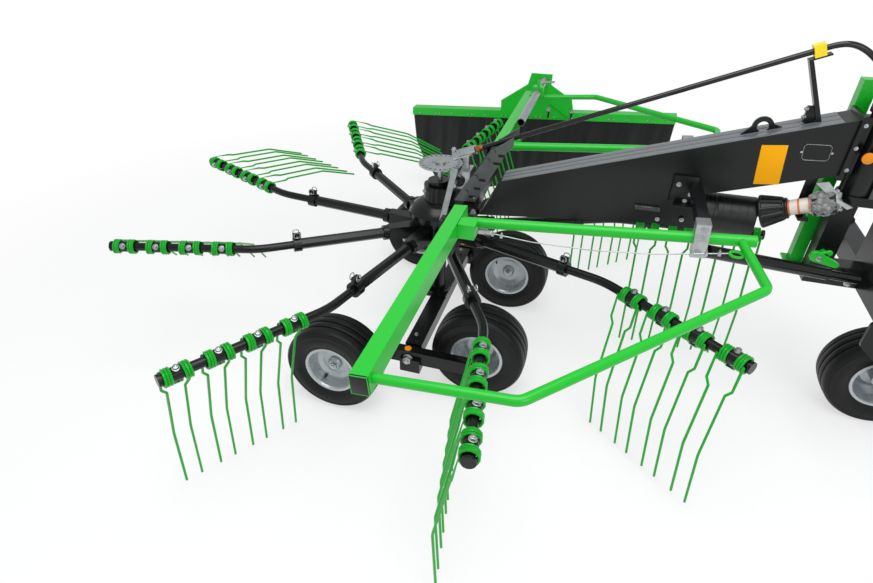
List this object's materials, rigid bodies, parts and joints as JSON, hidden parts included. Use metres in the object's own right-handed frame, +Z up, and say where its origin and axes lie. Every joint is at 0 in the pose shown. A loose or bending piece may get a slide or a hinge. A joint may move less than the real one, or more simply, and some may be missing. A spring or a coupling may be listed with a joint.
{
  "type": "rotary hay rake",
  "caption": "Mounted rotary hay rake: arms with hanging double tines round an upright rotor, tandem float wheels, folding tube guards, a side swath curtain and a headstock.",
  "frame": {"origin": "the rotor's upright axis at ground level, under the wheels' contact height", "axes": "+X is the direction of travel, +Y the left side, +Z up"},
  "size_m": [3.4616, 2.916, 1.4455],
  "materials": {
    "green_paint": "gloss",
    "tine_paint": "satin",
    "dark_paint": "satin",
    "grey_paint": "satin",
    "tyre_rubber": "matt",
    "black_plastic": "matt",
    "zinc": "satin",
    "yellow_plastic": "matt",
    "line_rubber": "satin",
    "cloth": "matt"
  },
  "bodies": {
    "chassis": {"bogie_right": "dark_paint", "bogie_left": "dark_paint", "cross_axle": "dark_paint", "rotor_column": "dark_paint", "housing_lid": "black_plastic", "gear_housing": "dark_paint", "height_spindle": "zinc", "height_disc": "zinc", "main_beam": "dark_paint", "swivel_head": "dark_paint", "input_housing": "dark_paint", "shaft_guard_pot": "black_plastic", "drive_shaft": "black_plastic", "stabiliser_strut": "dark_paint", "stand_sleeve": "dark_paint", "guard_carrier": "dark_paint", "guard_bracket_right": "zinc", "guard_bracket_left": "zinc", "guard_arm_right": "zinc", "guard_arm_left": "zinc", "head_bracket": "zinc", "lock_lever": "zinc", "slotted_plate_right": "dark_paint", "slotted_plate_left": "dark_paint", "shaft_rest": "dark_paint", "line_swivel": "zinc", "oil_line": "line_rubber", "line_clamp": "yellow_plastic", "line_stay": "dark_paint"},
    "rotor": {"rotor_hub": "dark_paint", "rotor_arms": "dark_paint", "tine_sets": "tine_paint"},
    "wheel_rear_right": {"tyre_rear_right": "tyre_rubber", "rim_rear_right": "grey_paint"},
    "wheel_rear_left": {"tyre_rear_left": "tyre_rubber", "rim_rear_left": "grey_paint"},
    "wheel_front_right": {"tyre_front_right": "tyre_rubber", "rim_front_right": "grey_paint"},
    "wheel_front_left": {"tyre_front_left": "tyre_rubber", "rim_front_left": "grey_paint"},
    "wheel_jockey": {"tyre_jockey": "tyre_rubber", "rim_jockey": "grey_paint"},
    "guard_right": {"guard_hoop_right": "green_paint", "guard_beam_right": "green_paint", "guard_wire_right": "zinc"},
    "guard_left": {"guard_hoop_left": "green_paint", "guard_beam_left": "green_paint", "guard_wire_left": "zinc"},
    "curtain_boom": {"curtain_frame": "green_paint", "curtain": "cloth", "boom_tube": "zinc"},
    "headstock": {"headstock_mast": "dark_paint", "lower_link_beam": "dark_paint", "jockey_leg": "dark_paint", "hose": "line_rubber", "hose_coupling": "zinc", "coupling_holder": "dark_paint"},
    "stand": {"parking_stand": "green_paint"}
  },
  "joints": [
    {"name": "rotor_spin", "type": "hinge", "parent": "chassis", "child": "rotor", "pos_m": [0, 0, 0.6], "axis": [0, 0, 1], "continuous": true},
    {"name": "rear_right_wheel_spin", "type": "hinge", "parent": "chassis", "child": "wheel_rear_right", "pos_m": [-0.26, -0.603, 0.203], "axis": [0, 1, 0], "continuous": true},
    {"name": "rear_left_wheel_spin", "type": "hinge", "parent": "chassis", "child": "wheel_rear_left", "pos_m": [-0.26, 0.603, 0.203], "axis": [0, 1, 0], "continuous": true},
    {"name": "front_right_wheel_spin", "type": "hinge", "parent": "chassis", "child": "wheel_front_right", "pos_m": [0.3, -0.341, 0.203], "axis": [0, 1, 0], "continuous": true},
    {"name": "front_left_wheel_spin", "type": "hinge", "parent": "chassis", "child": "wheel_front_left", "pos_m": [0.3, 0.341, 0.203], "axis": [0, 1, 0], "continuous": true},
    {"name": "jockey_wheel_spin", "type": "hinge", "parent": "headstock", "child": "wheel_jockey", "pos_m": [1.886, 0, 0.203], "axis": [0, 1, 0], "continuous": true},
    {"name": "right_guard_fold", "type": "hinge", "parent": "chassis", "child": "guard_right", "pos_m": [0.19, -0.413, 0.83977], "axis": [-0.9966, 0, -0.0827], "range_deg": [0, 95]},
    {"name": "left_guard_fold", "type": "hinge", "parent": "chassis", "child": "guard_left", "pos_m": [0.19, 0.413, 0.83977], "axis": [0.9966, 0, 0.0827], "range_deg": [0, 95]},
    {"name": "curtain_slide", "type": "slide", "parent": "guard_left", "child": "curtain_boom", "axis": [0, 1, 0], "range_m": [-0.1, 0.35]},
    {"name": "headstock_swivel", "type": "hinge", "parent": "chassis", "child": "headstock", "pos_m": [1.52, 0, 1.1], "axis": [0, 0, 1], "range_deg": [-12, 12]},
    {"name": "stand_slide", "type": "slide", "parent": "chassis", "child": "stand", "axis": [0, 0, 1], "range_m": [-0.6, 0]}
  ]
}
